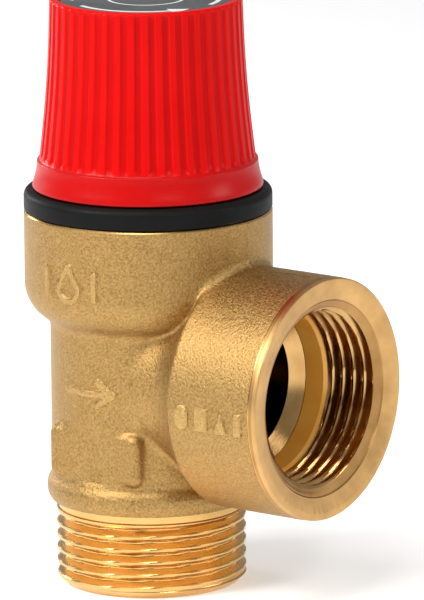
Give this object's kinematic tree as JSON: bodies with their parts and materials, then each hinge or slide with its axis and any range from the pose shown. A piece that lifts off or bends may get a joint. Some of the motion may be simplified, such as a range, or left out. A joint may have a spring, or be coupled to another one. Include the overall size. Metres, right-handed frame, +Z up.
{
  "type": "pressure relief valve",
  "caption": "Spring-loaded diaphragm relief valve in forged brass with a male threaded inlet, a female threaded side outlet and a red ribbed manual-discharge knob.",
  "frame": {"origin": "centre of the inlet's end face, on the valve axis", "axes": "+Z up along the valve axis towards the knob, +X along the outlet axis, out of its mouth"},
  "size_m": [0.0483, 0.0349, 0.0826],
  "materials": {
    "forged_brass": "forged and blasted, matte with a fine grain; machined ends bright",
    "turned_brass": "turned, bright",
    "steel": "turned",
    "spring_steel": "drawn wire, satin",
    "black_nylon": "moulded, satin",
    "white_nylon": "moulded, satin",
    "rubber": "moulded, matte",
    "red_plastic": "moulded, glossy",
    "label_grey": "printed, satin"
  },
  "bodies": {
    "valve": {"valve_body": "forged_brass", "bonnet": "black_nylon", "clamp_ring": "turned_brass", "diaphragm": "rubber", "spring": "spring_steel", "spring_cap": "steel", "setting_nut": "turned_brass", "lock_ring": "turned_brass", "stem_bush": "white_nylon"},
    "stem": {"seal_screw": "steel", "seal_retainer": "steel", "seal_disc": "rubber", "disc_holder": "turned_brass", "spring_plate": "turned_brass", "slip_ring": "white_nylon", "stem_washer": "steel", "stem_nut": "steel", "stem": "turned_brass", "knob_washer": "steel", "knob_screw": "steel"},
    "knob": {"knob": "red_plastic", "label_disc": "label_grey"}
  },
  "joints": [
    {"name": "stem_lift", "type": "slide", "parent": "valve", "child": "stem", "axis": [0, 0, 1], "range_m": [0, 0.00225], "stiffness_N_per_m": 12000, "deforming": ["spring", "diaphragm"]},
    {"name": "knob_turn", "type": "hinge", "parent": "stem", "child": "knob", "pos_m": [0, 0, 0.077], "axis": [0, 0, 1], "range_deg": [0, 90]}
  ],
  "couplings": [
    {"joint": "knob_turn", "follows": "stem_lift", "rad_per_m": 698}
  ]
}
